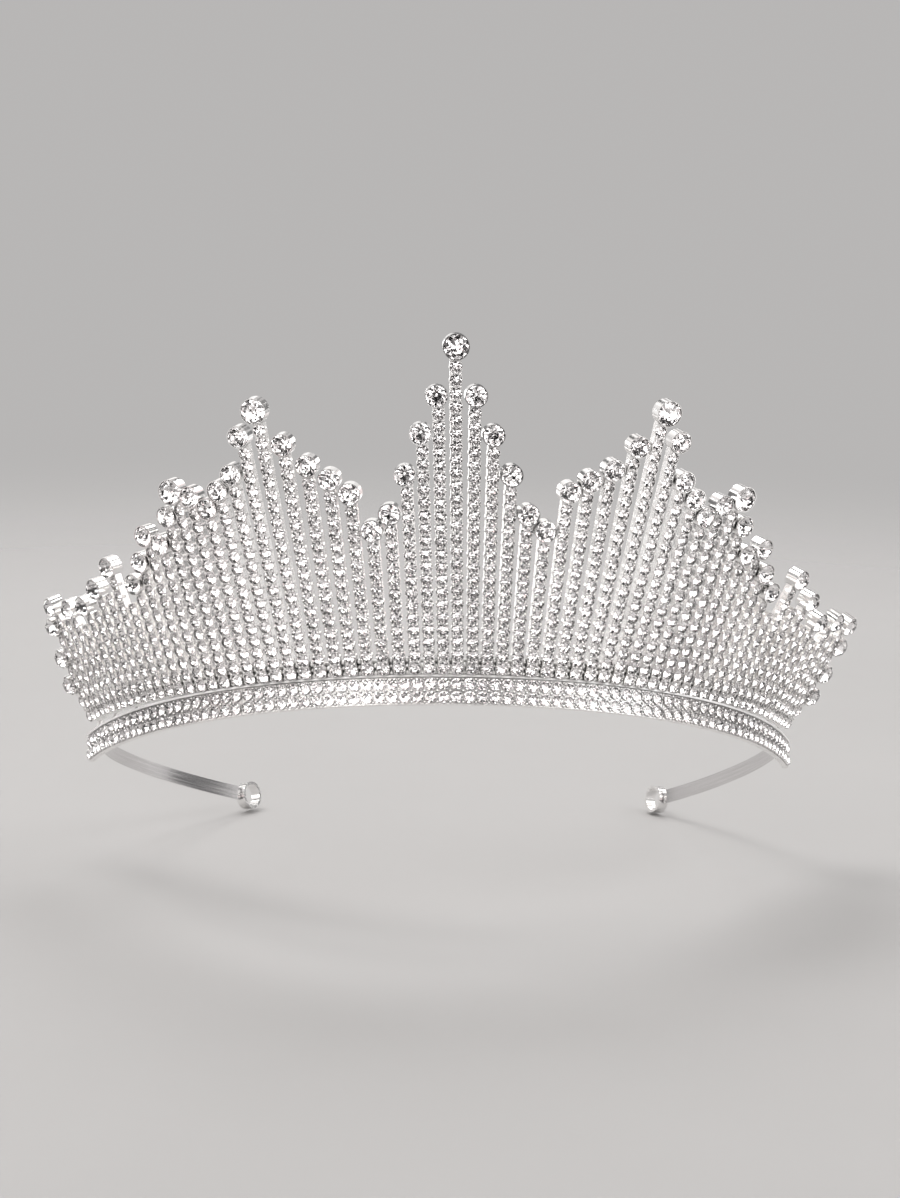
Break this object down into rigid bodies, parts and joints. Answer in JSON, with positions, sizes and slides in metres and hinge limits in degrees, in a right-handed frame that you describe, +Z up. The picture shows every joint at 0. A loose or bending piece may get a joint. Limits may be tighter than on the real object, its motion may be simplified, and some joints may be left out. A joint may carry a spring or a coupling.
{
  "type": "bridal tiara",
  "caption": "C-shaped bridal tiara with a stone-set band, a flared comb of stone-set bars rising to stepped peaks, and two thin back strips ending in loops.",
  "frame": {"origin": "centre of the bounding box at its bottom, level with the band's flat lower edge", "axes": "+Z up, the tiara's front faces -Y, +X to the right as seen from the front; the band is symmetric about X = -1.46 mm, and the hand-bent comb and back strips nearly so"},
  "size_m": [0.1558, 0.1312, 0.0602],
  "materials": {
    "silver_metal": "polished silver plating",
    "strip_metal": "smooth silver-plated spring strip",
    "rhinestone_small": "clear foiled faceted glass",
    "rhinestone_tip": "clear foiled faceted glass"
  },
  "bodies": {
    "root": {"back_strip_left": "strip_metal", "back_strip_right": "strip_metal", "band_stones_lower_centre": "rhinestone_small", "band_stones_lower_left": "rhinestone_small", "band_stones_lower_right": "rhinestone_small", "band_stones_upper_centre": "rhinestone_small", "band_stones_upper_left": "rhinestone_small", "band_stones_upper_right": "rhinestone_small", "bar_stones_centre": "rhinestone_small", "bar_stones_end_left": "rhinestone_small", "bar_stones_end_right": "rhinestone_small", "bar_stones_flank_left": "rhinestone_small", "bar_stones_flank_right": "rhinestone_small", "bar_stones_shoulder_left": "rhinestone_small", "bar_stones_shoulder_right": "rhinestone_small", "bar_stones_side_left": "rhinestone_small", "bar_stones_side_right": "rhinestone_small", "bars_centre": "silver_metal", "bars_end_left": "silver_metal", "bars_end_right": "silver_metal", "bars_flank_left": "silver_metal", "bars_flank_right": "silver_metal", "bars_shoulder_left": "silver_metal", "bars_shoulder_right": "silver_metal", "bars_side_left": "silver_metal", "bars_side_right": "silver_metal", "base_band_centre": "silver_metal", "base_band_left": "silver_metal", "base_band_right": "silver_metal", "comb_foot_strip_centre": "silver_metal", "comb_foot_strip_left": "silver_metal", "comb_foot_strip_right": "silver_metal", "end_loop_left": "silver_metal", "end_loop_right": "silver_metal", "foot_stones_centre": "rhinestone_small", "foot_stones_left": "rhinestone_small", "foot_stones_right": "rhinestone_small", "solder_posts": "silver_metal", "strip_rivets_left": "silver_metal", "strip_rivets_right": "silver_metal", "tip_cups_centre": "silver_metal", "tip_cups_end_left": "silver_metal", "tip_cups_end_right": "silver_metal", "tip_cups_flank_left": "silver_metal", "tip_cups_flank_right": "silver_metal", "tip_cups_shoulder_left": "silver_metal", "tip_cups_shoulder_right": "silver_metal", "tip_cups_side_left": "silver_metal", "tip_cups_side_right": "silver_metal", "tip_stones_centre": "rhinestone_tip", "tip_stones_end_left": "rhinestone_tip", "tip_stones_end_right": "rhinestone_tip", "tip_stones_flank_left": "rhinestone_tip", "tip_stones_flank_right": "rhinestone_tip", "tip_stones_shoulder_left": "rhinestone_tip", "tip_stones_shoulder_right": "rhinestone_tip", "tip_stones_side_left": "rhinestone_tip", "tip_stones_side_right": "rhinestone_tip", "top_rail": "silver_metal"}
  },
  "joints": []
}
